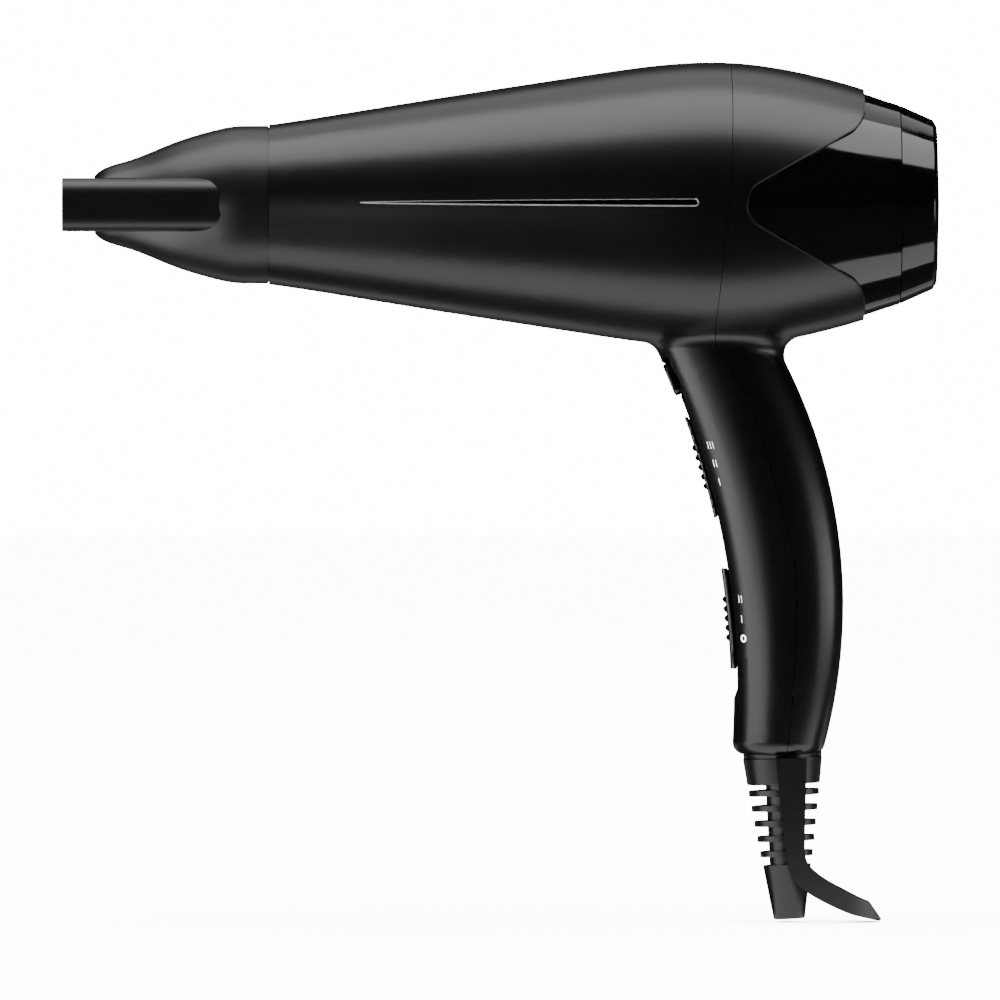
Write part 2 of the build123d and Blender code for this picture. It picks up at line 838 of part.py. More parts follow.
with BuildPart() as strain_relief:
    with BuildSketch(relief_plane):
        with BuildLine():
            Polyline(
                (0, 8),
                (relief_neck_r, 8),
                (relief_neck_r, -0.7),
                (relief_collar_r, -0.7),
                (relief_collar_r - 1.1, -collar_h),
                (relief_core_r, -collar_h),
                (relief_core_r - 0.3, -cone_top),
                (relief_core_r + 2, -cone_top),
                (relief_core_r - 0.8, -relief_len),
                (0, -relief_len),
                close=True,
            )
        make_face()
        fillet(vertices().sort_by(Axis.X)[-2:], 0.5)
    revolve(axis=relief_axis)
    for index in range(hoop_count):
        outer_r = hoop_r - hoop_taper * index
        with BuildSketch(relief_up.offset(-hoop_top - index * hoop_pitch)):
            Circle(outer_r)
            Circle(outer_r - hoop_t, mode=Mode.SUBTRACT)
            Rectangle(rib_w, 2 * outer_r - hoop_t)
        extrude(amount=hoop_band)
    with BuildSketch(relief_up.offset(-relief_len - 1)):
        Circle(flex_r + 0.1)
    extrude(amount=relief_len + 10, mode=Mode.SUBTRACT)
save(strain_relief.part, "strain_relief")

# Cord clamp and its screws

clamp_x = relief_x - 0.6
clamp_z = grip_bottom + 10.5
clamp_t = 4.0
screw_r = 2.1
screw_side = 7.2

with BuildPart() as cord_clamp:
    with Locations((clamp_x, 0, clamp_z + clamp_t / 2)):
        Box(14, 20, clamp_t)
    with BuildSketch(Plane.XY.offset(clamp_z - 2)):
        with Locations((clamp_x, 0)):
            Circle(flex_r + 0.4)
    extrude(amount=clamp_t + 4, mode=Mode.SUBTRACT)
save(cord_clamp.part, "cord_clamp")

with BuildPart() as clamp_screws:
    for screw_y in (-screw_side, screw_side):
        with BuildSketch(Plane.XY.offset(clamp_z + clamp_t + bond_lap)):
            with Locations((clamp_x, screw_y)):
                Circle(screw_r)
        extrude(amount=1.6)
        with BuildSketch(Plane.XY.offset(clamp_z + clamp_t + 0.35)):
            with Locations((clamp_x, screw_y)):
                Rectangle(3, 0.6)
        extrude(amount=2, mode=Mode.SUBTRACT)
save(clamp_screws.part, "clamp_screws")

# Hanging loop: two arms beside the relief, joined by a tail behind it

loop_half_w = relief_collar_r + 1.9
loop_t = 2.3
arm_top = grip_bottom - 0.9
bend_top = grip_bottom - 34
tail_low = (relief_x + 31.5, grip_bottom - 54.2)
tail_high = (relief_x + 28.5, grip_bottom - 48)
front_bend = [
    (relief_x + 1.2, bend_top),
    (relief_x + 4.4, bend_top - 7.6),
    (relief_x + 9.1, bend_top - 11.4),
    (relief_x + 19.9, bend_top - 16.9),
    tail_low,
]
rear_bend = [
    tail_high,
    (relief_x + 21.4, bend_top - 10.8),
    (relief_x + 14.4, bend_top - 7),
    (relief_x + 8.4, bend_top - 1.6),
    (relief_x + 7, bend_top + 5),
]


def loop_plan(half_w, nose, shoulder):
    back = relief_x - 9
    edge = [
        (back, half_w),
        (relief_x + 9.8, half_w),
        (nose - shoulder, 0.7 * half_w),
        (nose, 0),
        (nose - shoulder, -0.7 * half_w),
        (relief_x + 9.8, -half_w),
        (back, -half_w),
    ]
    Spline(*edge, tangents=((1, 0), (-1, 0)))
    Line(edge[-1], edge[0])


with BuildPart() as hang_loop:
    with BuildSketch(side):
        with BuildLine():
            Line((relief_x - 2.5, arm_top), front_bend[0])
            Spline(*front_bend, tangents=((0.1, -1), (1, -0.25)))
            Polyline(tail_low, (tail_low[0] + 0.8, tail_low[1] + 0.7), tail_high)
            Spline(*rear_bend, tangents=((-1, 0.3), (0, 1)))
            Polyline(rear_bend[-1], (relief_x + 7.6, arm_top), (relief_x - 2.5, arm_top))
        make_face()
    extrude(amount=loop_half_w, both=True)
    with BuildSketch(Plane.XY.offset(grip_bottom - 59)):
        with BuildLine():
            loop_plan(loop_half_w, relief_x + 32.8, 7)
        make_face()
        with BuildLine():
            loop_plan(loop_half_w - loop_t, relief_x + 26.3, 5)
        make_face(mode=Mode.SUBTRACT)
    extrude(amount=70, mode=Mode.INTERSECT)
    stud_len = (loop_half_w - loop_t - relief_collar_r) / 2 + 1.2
    for sign in (-1, 1):
        with BuildSketch(side.offset(sign * (relief_collar_r + loop_half_w - loop_t + 0.5) / 2)):
            with Locations((relief_x + 3, grip_bottom - 5)):
                Circle(3)
        extrude(amount=stud_len, both=True)
save(hang_loop.part - strain_relief.part, "hang_loop")
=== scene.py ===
import json
import math

import bmesh
import bpy
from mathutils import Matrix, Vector


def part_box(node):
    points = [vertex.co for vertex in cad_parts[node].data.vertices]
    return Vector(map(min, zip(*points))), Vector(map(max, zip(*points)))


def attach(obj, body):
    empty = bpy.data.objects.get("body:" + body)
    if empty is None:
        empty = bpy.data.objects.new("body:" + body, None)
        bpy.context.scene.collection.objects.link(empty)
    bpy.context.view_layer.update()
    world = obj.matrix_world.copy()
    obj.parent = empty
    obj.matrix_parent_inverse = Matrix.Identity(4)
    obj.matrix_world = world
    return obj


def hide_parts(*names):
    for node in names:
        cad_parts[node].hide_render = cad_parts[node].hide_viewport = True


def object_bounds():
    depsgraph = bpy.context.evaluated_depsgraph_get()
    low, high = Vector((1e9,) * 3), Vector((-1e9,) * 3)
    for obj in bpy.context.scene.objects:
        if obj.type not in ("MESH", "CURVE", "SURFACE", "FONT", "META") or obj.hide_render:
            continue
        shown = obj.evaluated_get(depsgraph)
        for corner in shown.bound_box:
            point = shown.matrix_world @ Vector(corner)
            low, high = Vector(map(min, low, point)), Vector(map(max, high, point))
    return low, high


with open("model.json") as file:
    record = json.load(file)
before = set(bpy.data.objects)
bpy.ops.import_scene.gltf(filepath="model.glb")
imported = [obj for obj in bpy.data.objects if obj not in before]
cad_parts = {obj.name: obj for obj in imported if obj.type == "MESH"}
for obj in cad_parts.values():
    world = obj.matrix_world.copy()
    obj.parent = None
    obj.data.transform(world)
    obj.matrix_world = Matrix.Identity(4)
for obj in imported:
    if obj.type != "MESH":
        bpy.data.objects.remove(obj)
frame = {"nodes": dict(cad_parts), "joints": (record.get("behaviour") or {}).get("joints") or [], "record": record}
nodes = frame["nodes"]
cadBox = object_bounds()
print("frame loaded:", len(nodes), "nodes")


# Where the barrel axis lies, read from the frame
grilleLow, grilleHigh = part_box("outlet_grille")
barrelZ = (grilleLow.z + grilleHigh.z) / 2


def newGroup(name, inputs, outputs):
    group = bpy.data.node_groups.new(name, "ShaderNodeTree")
    for label, kind, value in inputs:
        socket = group.interface.new_socket(name=label, in_out="INPUT", socket_type=kind)
        socket.default_value = value
    for label, kind in outputs:
        group.interface.new_socket(name=label, in_out="OUTPUT", socket_type=kind)
    entry = group.nodes.new("NodeGroupInput")
    leave = group.nodes.new("NodeGroupOutput")
    return group, entry, leave


def addNode(tree, kind, **settings):
    node = tree.nodes.new(kind)
    for key, value in settings.items():
        setattr(node, key, value)
    return node


def noiseInto(tree, vector, scale, detail, roughness=0.5):
    noise = addNode(tree, "ShaderNodeTexNoise")
    noise.inputs["Scale"].default_value = scale
    noise.inputs["Detail"].default_value = detail
    noise.inputs["Roughness"].default_value = roughness
    tree.links.new(vector, noise.inputs["Vector"])
    return noise


def rangeInto(tree, value, low, high, fromLow=0.3, fromHigh=0.7):
    node = addNode(tree, "ShaderNodeMapRange")
    tree.links.new(value, node.inputs["Value"])
    node.inputs["From Min"].default_value = fromLow
    node.inputs["From Max"].default_value = fromHigh
    node.inputs["To Min"].default_value = low
    node.inputs["To Max"].default_value = high
    return node


mouldedSurface = {
    "grainScale": 2600,
    "grainHeight": 0.00002,
    "handledScale": 34,       # slow change of sheen where it is handled
    "speckleScale": 900,
    "speckleTint": (0.88, 1.14),
}


def mouldedGrainGroup():
    group, entry, leave = newGroup(
        "mouldedGrain",
        [
            ("Colour", "NodeSocketColor", (0.02, 0.02, 0.02, 1)),
            ("Roughness", "NodeSocketFloat", 0.45),
            ("Grain Scale", "NodeSocketFloat", 2600.0),
            ("Grain Depth", "NodeSocketFloat", 0.15),
            ("Handling", "NodeSocketFloat", 0.04),
        ],
        [("Colour", "NodeSocketColor"), ("Roughness", "NodeSocketFloat"), ("Normal", "NodeSocketVector")],
    )
    coords = addNode(group, "ShaderNodeTexCoord")
    grain = noiseInto(group, coords.outputs["Object"], mouldedSurface["grainScale"], 2)
    group.links.new(entry.outputs["Grain Scale"], grain.inputs["Scale"])
    bump = addNode(group, "ShaderNodeBump")
    bump.inputs["Distance"].default_value = mouldedSurface["grainHeight"]
    group.links.new(entry.outputs["Grain Depth"], bump.inputs["Strength"])
    group.links.new(grain.outputs["Fac"], bump.inputs["Height"])
    group.links.new(bump.outputs["Normal"], leave.inputs["Normal"])

    handled = noiseInto(group, coords.outputs["Object"], mouldedSurface["handledScale"], 1, 0.4)
    spread = rangeInto(group, handled.outputs["Fac"], -1.0, 1.0, 0.0, 1.0)
    scaled = addNode(group, "ShaderNodeMath", operation="MULTIPLY")
    group.links.new(spread.outputs["Result"], scaled.inputs[0])
    group.links.new(entry.outputs["Handling"], scaled.inputs[1])
    total = addNode(group, "ShaderNodeMath", operation="ADD")
    group.links.new(scaled.outputs[0], total.inputs[0])
    group.links.new(entry.outputs["Roughness"], total.inputs[1])
    group.links.new(total.outputs[0], leave.inputs["Roughness"])

    speckle = noiseInto(group, coords.outputs["Object"], mouldedSurface["speckleScale"], 3)
    tint = rangeInto(group, speckle.outputs["Fac"], *mouldedSurface["speckleTint"])
    mixed = addNode(group, "ShaderNodeVectorMath", operation="SCALE")
    group.links.new(entry.outputs["Colour"], mixed.inputs[0])
    group.links.new(tint.outputs["Result"], mixed.inputs["Scale"])
    group.links.new(mixed.outputs["Vector"], leave.inputs["Colour"])
    return group


glossSurface = {
    "wipeStretch": (1.0, 1.0, 5.0),
    "wipeScale": 60,
    "moteScale": 700,
    "moteSpread": 160,        # where motes gather
    "dustColour": (0.35, 0.34, 0.32),
}


def dustGroup():
    group, entry, leave = newGroup(
        "dustAndWipes",
        [
            ("Roughness", "NodeSocketFloat", 0.08),
            ("Wipe", "NodeSocketFloat", 0.05),
            ("Dust", "NodeSocketFloat", 0.1),
        ],
        [("Roughness", "NodeSocketFloat"), ("Mask", "NodeSocketFloat")],
    )
    coords = addNode(group, "ShaderNodeTexCoord")
    stretch = addNode(group, "ShaderNodeMapping")
    stretch.inputs["Scale"].default_value = glossSurface["wipeStretch"]
    group.links.new(coords.outputs["Object"], stretch.inputs["Vector"])
    wipes = noiseInto(group, stretch.outputs["Vector"], glossSurface["wipeScale"], 6, 0.7)
    wiped = rangeInto(group, wipes.outputs["Fac"], 0.0, 1.0, 0.45, 0.75)
    strength = addNode(group, "ShaderNodeMath", operation="MULTIPLY")
    group.links.new(wiped.outputs["Result"], strength.inputs[0])
    group.links.new(entry.outputs["Wipe"], strength.inputs[1])
    total = addNode(group, "ShaderNodeMath", operation="ADD")
    group.links.new(strength.outputs[0], total.inputs[0])
    group.links.new(entry.outputs["Roughness"], total.inputs[1])
    group.links.new(total.outputs[0], leave.inputs["Roughness"])
    motes = addNode(group, "ShaderNodeTexVoronoi")
    motes.inputs["Scale"].default_value = glossSurface["moteScale"]
    group.links.new(coords.outputs["Object"], motes.inputs["Vector"])
    near = rangeInto(group, motes.outputs["Distance"], 1.0, 0.0, 0.02, 0.1)
    sparse = noiseInto(group, coords.outputs["Object"], glossSurface["moteSpread"], 2)
    kept = rangeInto(group, sparse.outputs["Fac"], 0.0, 1.0, 0.6, 0.7)
    both = addNode(group, "ShaderNodeMath", operation="MULTIPLY")
    group.links.new(near.outputs["Result"], both.inputs[0])
    group.links.new(kept.outputs["Result"], both.inputs[1])
    scaled = addNode(group, "ShaderNodeMath", operation="MULTIPLY")
    group.links.new(both.outputs[0], scaled.inputs[0])
    group.links.new(entry.outputs["Dust"], scaled.inputs[1])
    group.links.new(scaled.outputs[0], leave.inputs["Mask"])
    return group


grainGroup = mouldedGrainGroup()
wipeGroup = dustGroup()


def meshObject(name, verts, faces):
    mesh = bpy.data.meshes.new(name)
    mesh.from_pydata(verts, [], faces)
    mesh.update()
    obj = bpy.data.objects.new(name, mesh)
    bpy.context.scene.collection.objects.link(obj)
    return obj


def startMaterial(name):
    material = bpy.data.materials.new(name)
    material.use_nodes = True
    tree = material.node_tree
    shader = next(n for n in tree.nodes if n.type == "BSDF_PRINCIPLED")
    return material, tree, shader


def mouldedPlastic(name, look):
    material, tree, shader = startMaterial(name)
    grain = addNode(tree, "ShaderNodeGroup", node_tree=grainGroup)
    grain.inputs["Colour"].default_value = (*look["colour"], 1)
    grain.inputs["Roughness"].default_value = look["roughness"]
    grain.inputs["Grain Scale"].default_value = look["grainScale"]
    grain.inputs["Grain Depth"].default_value = look["grainDepth"]
    grain.inputs["Handling"].default_value = look["handling"]
    tree.links.new(grain.outputs["Colour"], shader.inputs["Base Color"])
    tree.links.new(grain.outputs["Roughness"], shader.inputs["Roughness"])
    tree.links.new(grain.outputs["Normal"], shader.inputs["Normal"])
    shader.inputs["IOR"].default_value = look["ior"]
    shader.inputs["Specular IOR Level"].default_value = look["specular"]
    shader.inputs["Coat Weight"].default_value = look.get("coat", 0.0)
    shader.inputs["Coat Roughness"].default_value = look.get("coatRoughness", 0.3)
    shader.inputs["Sheen Weight"].default_value = look.get("sheen", 0.0)
    return material


def glossPlastic(name, look):
    material, tree, shader = startMaterial(name)
    wipes = addNode(tree, "ShaderNodeGroup", node_tree=wipeGroup)
    wipes.inputs["Roughness"].default_value = look["roughness"]
    wipes.inputs["Wipe"].default_value = look["wipe"]
    wipes.inputs["Dust"].default_value = look["dust"]
    tint = addNode(tree, "ShaderNodeMix", data_type="RGBA")
    tint.inputs["A"].default_value = (*look["colour"], 1)
    tint.inputs["B"].default_value = (*glossSurface["dustColour"], 1)
    tree.links.new(wipes.outputs["Mask"], tint.inputs["Factor"])
    tree.links.new(tint.outputs["Result"], shader.inputs["Base Color"])
    tree.links.new(wipes.outputs["Roughness"], shader.inputs["Roughness"])
    shader.inputs["IOR"].default_value = look["ior"]
    shader.inputs["Metallic"].default_value = look.get("metallic", 0.0)
    return material


looks = {
    "soft_shell": {
        "colour": (0.00015, 0.00015, 0.00017), "roughness": 0.3, "grainScale": 3200, "grainDepth": 0.25,
        "handling": 0.03, "ior": 1.5, "specular": 0.5,
    },
    "nozzle_black": {
        "colour": (0.00025, 0.00025, 0.00027), "roughness": 0.36, "grainScale": 2400, "grainDepth": 0.3,
        "handling": 0.03, "ior": 1.5, "specular": 0.5,
    },
    "heat_plastic": {
        "colour": (0.02, 0.02, 0.02), "roughness": 0.5, "grainScale": 2400, "grainDepth": 0.3,
        "handling": 0.03, "ior": 1.5, "specular": 0.5,
    },
    "fan_plastic": {
        "colour": (0.1, 0.1, 0.11), "roughness": 0.45, "grainScale": 2400, "grainDepth": 0.2,
        "handling": 0.03, "ior": 1.5, "specular": 0.5,
    },
    "relief_rubber": {
        "colour": (0.0004, 0.0005, 0.0006), "roughness": 0.32, "grainScale": 2800, "grainDepth": 0.35,
        "handling": 0.05, "ior": 1.5, "specular": 0.45,
    },
    "board": {
        "colour": (0.03, 0.12, 0.05), "roughness": 0.4, "grainScale": 2000, "grainDepth": 0.1,
        "handling": 0.03, "ior": 1.5, "specular": 0.5,
    },
    "lead_jacket": {
        "colour": (0.6, 0.6, 0.58), "roughness": 0.4, "grainScale": 2000, "grainDepth": 0.1,
        "handling": 0.03, "ior": 1.5, "specular": 0.5,
    },
    "mica": {
        "colour": (0.55, 0.47, 0.32), "roughness": 0.35, "grainScale": 900, "grainDepth": 0.5,
        "handling": 0.1, "ior": 1.55, "specular": 0.5,
    },
}
glossLooks = {
    "gloss_black": {
        "colour": (0.0001, 0.0001, 0.00012), "roughness": 0.07, "wipe": 0.06, "dust": 0.04, "ior": 1.53,
    },
    "bright_trim": {
        "colour": (0.3, 0.3, 0.31), "roughness": 0.25, "wipe": 0.08, "dust": 0.04, "ior": 1.5,
        "metallic": 0.97,
    },
    "steel": {
        "colour": (0.5, 0.5, 0.52), "roughness": 0.28, "wipe": 0.2, "dust": 0.05, "ior": 1.5, "metallic": 1.0,
    },
    "heater_wire": {
        "colour": (0.32, 0.28, 0.24), "roughness": 0.4, "wipe": 0.2, "dust": 0.05, "ior": 1.5,
        "metallic": 1.0,
    },
}

materials = {name: mouldedPlastic(name, look) for name, look in looks.items()}
materials.update({name: glossPlastic(name, look) for name, look in glossLooks.items()})
slotOf = {entry["node"]: entry["material_slot"] for entry in frame["record"]["subparts"]}


def dress(obj, slotName):
    obj.data.materials.clear()
    obj.data.materials.append(materials[slotName])


for nodeName, nodeObject in nodes.items():
    dress(nodeObject, slotOf[nodeName])
print("materials:", len(materials))


printing = {
    "barHeight": 0.0024,
    "barWidth": 0.00014,
    "barPitch": 0.00082,
    "lift": 0.00004,
    "ink": (0.35, 0.35, 0.35),
    "inkGrain": 4000,
    "inkFade": (0.85, 1.0),
    "inkRoughness": 0.5,
    "barSteps": 6,
    "ringSteps": 28,
    "ringInner": (0.00045, 0.00075),     # half width and half height
    "ringOuter": (0.00085, 0.00125),
    # bars per mark (0 is a ring), place back from the slider's front and up from its middle
    "heat_slider": [(3, 0.0083, 0.0073), (2, 0.0098, 0.0014), (1, 0.0113, -0.0046)],
    "speed_slider": [(2, 0.0061, 0.0065), (1, 0.0066, 0.0), (0, 0.0072, -0.0063)],
    "lean": {"heat_slider": 15.0, "speed_slider": 5.0},
}
icon = {
    "armLength": 0.0019,
    "armWidth": 0.00028,
    "branchAt": 0.6,
    "branchLength": 0.0007,
    "branchTurn": 50,         # degrees from the arm
    "lift": 0.00006,
    "drop": 0.0002,           # below the button's middle
    "reach": 0.03,            # out in front, from where its face is found
}


def inkMaterial():
    material, tree, shader = startMaterial("paleInk")
    coords = addNode(tree, "ShaderNodeTexCoord")
    screen = noiseInto(tree, coords.outputs["Object"], printing["inkGrain"], 2)
    fade = rangeInto(tree, screen.outputs["Fac"], *printing["inkFade"])
    tone = addNode(tree, "ShaderNodeVectorMath", operation="SCALE")
    tone.inputs[0].default_value = printing["ink"]
    tree.links.new(fade.outputs["Result"], tone.inputs["Scale"])
    tree.links.new(tone.outputs["Vector"], shader.inputs["Base Color"])
    shader.inputs["Roughness"].default_value = printing["inkRoughness"]
    return material


def onHousing(x, z):
    hit, place, normal, _ = nodes["housing_front"].ray_cast(Vector((x, -0.1, z)), Vector((0, 1, 0)))
    return place + normal * printing["lift"] if hit else Vector((x, -0.02, z))


def addBar(mesh, centreX, centreZ, lean):
    steps = printing["barSteps"]
    rows = []
    for step in range(steps + 1):
        along = (step / steps - 0.5) * printing["barHeight"]
        midX = centreX - along * math.sin(lean)
        midZ = centreZ + along * math.cos(lean)
        half = printing["barWidth"] / 2
        rows.append([mesh.verts.new(onHousing(midX + side * half, midZ)) for side in (-1, 0, 1)])
    for lower, upper in zip(rows, rows[1:]):
        for left in (0, 1):
            mesh.faces.new((lower[left], lower[left + 1], upper[left + 1], upper[left]))


def addRing(mesh, centreX, centreZ, lean):
    steps = printing["ringSteps"]
    inner, outer = [], []
    for step in range(steps):
        angle = math.tau * step / steps
        for ring, (wide, tall) in ((inner, printing["ringInner"]), (outer, printing["ringOuter"])):
            across = math.cos(angle) * wide
            along = math.sin(angle) * tall
            x = centreX + across * math.cos(lean) - along * math.sin(lean)
            z = centreZ + across * math.sin(lean) + along * math.cos(lean)
            ring.append(mesh.verts.new(onHousing(x, z)))
    for step in range(steps):
        after = (step + 1) % steps
        mesh.faces.new((inner[step], inner[after], outer[after], outer[step]))


def printMarks(sliderName):
    low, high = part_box(sliderName)
    middle = (low + high) / 2
    lean = math.radians(printing["lean"][sliderName])
    mesh = bmesh.new()
    for bars, alongX, upZ in printing[sliderName]:
        x, z = low.x + alongX, middle.z + upZ
        if bars == 0:
            addRing(mesh, x, z, lean)
        for index in range(bars):
            addBar(mesh, x + (index - (bars - 1) / 2) * printing["barPitch"], z, lean)
    data = bpy.data.meshes.new("marks_" + sliderName)
    mesh.to_mesh(data)
    obj = bpy.data.objects.new(data.name, data)
    bpy.context.scene.collection.objects.link(obj)
    data.materials.append(ink)
    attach(obj, "dryer")


def coolIcon():
    joint = next(j for j in frame["joints"] if j["child"] == "cool_button")
    inward = Vector(joint["axis"])
    across = Vector((0, 1, 0))
    up = inward.cross(across).normalized()
    low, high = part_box("cool_button")
    start = (low + high) / 2 - inward * icon["reach"] - up * icon["drop"]
    _, centre, _, _ = nodes["cool_button"].ray_cast(start, inward)
    centre = centre - inward * icon["lift"]
    mesh = bmesh.new()

    def strip(a, b):
        direction = (b - a).normalized()
        wide = direction.cross(inward) * icon["armWidth"] / 2
        mesh.faces.new([mesh.verts.new(p) for p in (a - wide, a + wide, b + wide, b - wide)])

    for arm in range(6):
        angle = math.radians(60 * arm + 30)
        ray = across * math.cos(angle) + up * math.sin(angle)
        strip(centre, centre + ray * icon["armLength"])
        fork = centre + ray * icon["armLength"] * icon["branchAt"]
        for turn in (-icon["branchTurn"], icon["branchTurn"]):
            bent = angle + math.radians(turn)
            tip = (across * math.cos(bent) + up * math.sin(bent)) * icon["branchLength"]
            strip(fork, fork + tip)
    data = bpy.data.meshes.new("coolIcon")
    mesh.to_mesh(data)
    obj = bpy.data.objects.new("coolIcon", data)
    bpy.context.scene.collection.objects.link(obj)
    data.materials.append(ink)
    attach(obj, "cool_button")


accentBead = {
    "radius": 0.00024,       # of the bright bead round the inlay
    "upperShare": 0.45,      # the bead thins to this along the upper edge
    "endSize": 1.25,         # and swells to this round the blunt end
    "crowding": 1.3,         # stations gather toward the sharp end
    "swell": 0.55,           # how quickly the strip opens from its sharp end
    "stations": 64,
    "margin": 0.0003,        # where the skin beside the recess is measured
    "smoothing": 6,
}


def skinDepth(x, z, side):
    for name in ("housing_front", "housing_rear"):
        hit, place, _, _ = nodes[name].ray_cast(Vector((x, side * 0.12, z)), Vector((0, -side, 0)))
        if hit:
            return place.y
    return side * 0.04


def smoothed(values, passes):
    for _ in range(passes):
        values = [
            (values[max(i - 1, 0)] + 2 * value + values[min(i + 1, len(values) - 1)]) / 4
            for i, value in enumerate(values)
        ]
    return values


def layBead(name, outlines, radius, material):
    curve = bpy.data.curves.new(name, "CURVE")
    curve.dimensions = "3D"
    curve.bevel_depth = radius
    curve.bevel_resolution = 4
    for outline in outlines:
        spline = curve.splines.new("POLY")
        spline.points.add(len(outline) - 1)
        for point, (place, size) in zip(spline.points, outline):
            point.co = (*place, 1)
            point.radius = size
    curve.materials.append(material)
    obj = bpy.data.objects.new(name, curve)
    bpy.context.scene.collection.objects.link(obj)
    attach(obj, "dryer")
    return obj


def accentOutline(side):
    low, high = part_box("accent_edge")
    half = (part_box("accent_inlay")[1].z - low.z) / 2
    middle = low.z + half
    end = high.x - half
    steps = accentBead["stations"]
    shares = [(step / steps) ** accentBead["crowding"] for step in range(steps + 1)]
    edge = [(low.x + share * (end - low.x), half * share ** accentBead["swell"]) for share in shares]
    turn = [math.radians(angle) for angle in range(-80, 81, 10)]
    path = [(x, middle - rise, -1, 1.0) for x, rise in edge]
    for a in turn:
        out = math.sin(a)
        path.append((end + half * math.cos(a), middle + half * out, out, accentBead["endSize"]))
    path += [(x, middle + rise, 1, accentBead["upperShare"]) for x, rise in reversed(edge)]
    margin = accentBead["margin"]
    depths = [skinDepth(x, z + out * margin, side) for x, z, out, _ in path]
    depths = smoothed(depths, accentBead["smoothing"])
    return [(Vector((x, y, z)), size) for (x, z, _, size), y in zip(path, depths)]


shellLip = {
    "radius": 0.0002,        # rolled edge of the soft shell round the trim
    "inset": 0.0003,         # how far its middle lies inside the shell's edge
    "slope": 29.5,           # half angle of the V, degrees
    "tipRadius": 0.008,
    "rootRadius": 0.010,
    "tipGap": 0.00035,       # trim to shell
    "straightSteps": 30,
    "turnStep": 6,           # degrees
    "smoothing": 4,
}


def lipOutline(side):
    slope = math.radians(shellLip["slope"])
    tip, root = shellLip["tipRadius"] + shellLip["inset"], shellLip["rootRadius"] - shellLip["inset"]
    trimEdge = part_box("rear_trim")[0].x - shellLip["tipGap"]
    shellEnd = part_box("housing_rear")[1].x - shellLip["inset"]
    centreX = trimEdge + shellLip["tipRadius"]
    turnStep = shellLip["turnStep"]
    quarter = [math.radians(180 - angle) for angle in range(0, int(90 - shellLip["slope"]), turnStep)]
    half = [(centreX + tip * math.cos(a), tip * math.sin(a)) for a in quarter]
    startX = centreX - tip * math.sin(slope)
    startZ = tip * math.cos(slope)
    rootX = shellEnd - root
    rootZ = startZ + (root + math.sin(slope) * (rootX - startX)) / math.cos(slope)
    lastX = rootX + root * math.sin(slope)
    lastZ = rootZ - root * math.cos(slope)
    straight = shellLip["straightSteps"]
    runX, runZ = lastX - startX, lastZ - startZ
    for step in range(straight + 1):
        half.append((startX + runX * step / straight, startZ + runZ * step / straight))
    bend = [math.radians(angle) for angle in range(int(shellLip["slope"]) - 85, 1, turnStep)]
    half += [(rootX + root * math.cos(a), rootZ + root * math.sin(a)) for a in bend]
    path = [(x, -rise) for x, rise in reversed(half)] + half[1:]
    depths = [skinDepth(x, barrelZ + rise, side) for x, rise in path]
    depths = smoothed(depths, shellLip["smoothing"])
    return [(Vector((x, y, barrelZ + rise)), 1.0) for (x, rise), y in zip(path, depths)]


def sweptFaces(spans, order, stations):
    wide = len(order)
    faces = []
    for step in range(spans):
        at, after = wide * step, wide * ((step + 1) % stations)
        for a, b in zip(order, order[1:] + order[:1]):
            faces.append((at + a, after + a, after + b, at + b))
    return faces


sliderFoot = {
    "depth": 0.0005,         # from the panel up into the slider
    "sink": 0.00005,         # into the panel, the same all along the travel
    "inset": 0.0004,         # from the slider's sides
    "endInset": 0.0006,
    "besideStem": 0.003,     # where the panel's face is measured, clear of the stem slot
    "stations": 30,
}


def layFoot(sliderName):
    joint = next(j for j in frame["joints"] if j["child"] == sliderName)
    pivot = Vector(joint["pos_m"])
    low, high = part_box(sliderName)
    middle = (low + high) / 2
    beside = Vector((pivot.x, sliderFoot["besideStem"], pivot.z))
    outward = Vector((middle.x - pivot.x, 0, middle.z - pivot.z)).normalized()
    _, panel, _, _ = nodes["switch_panel"].ray_cast(beside, outward)
    panelRadius = (panel - beside).length
    half = (high.y - low.y) / 2 - sliderFoot["inset"]
    ends = (low.z + sliderFoot["endInset"], high.z - sliderFoot["endInset"])
    first, last = [math.asin((z - pivot.z) / panelRadius) for z in ends]
    count = sliderFoot["stations"]
    verts = []
    for step in range(count + 1):
        angle = first + (last - first) * step / count
        ray = Vector((math.cos(angle), 0, math.sin(angle)))
        for radius in (panelRadius - sliderFoot["depth"], panelRadius + sliderFoot["sink"]):
            for y in (-half, half):
                verts.append(Vector((pivot.x, y, pivot.z)) + ray * radius)
    end = 4 * count
    faces = [(0, 1, 3, 2)] + sweptFaces(count, (0, 1, 3, 2), count + 1)
    faces.append((end, end + 2, end + 3, end + 1))
    foot = meshObject(sliderName + "Foot", verts, faces)
    foot.data.materials.append(materials[slotOf[sliderName]])
    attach(foot, sliderName)


seamRing = {
    "groove": 0.0005,        # depth of the dark line behind the nozzle
    "wall": 0.003,
    "bite": 0.0003,          # into the nose of the housing
    "stations": 96,
}


def laySeamRing():
    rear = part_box("nozzle")[1]
    outer = rear.z - barrelZ - seamRing["groove"]
    start, end = rear.x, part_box("housing_front")[0].x + seamRing["bite"]
    inner = outer - seamRing["wall"]
    count = seamRing["stations"]
    verts = []
    for step in range(count):
        angle = math.tau * step / count
        for x, radius in ((start, outer), (end, outer), (end, inner), (start, inner)):
            verts.append((x, radius * math.cos(angle), barrelZ + radius * math.sin(angle)))
    ring = meshObject("seamRing", verts, sweptFaces(count, (0, 1, 2, 3), count))
    ring.data.materials.append(materials["soft_shell"])
    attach(ring, "dryer")


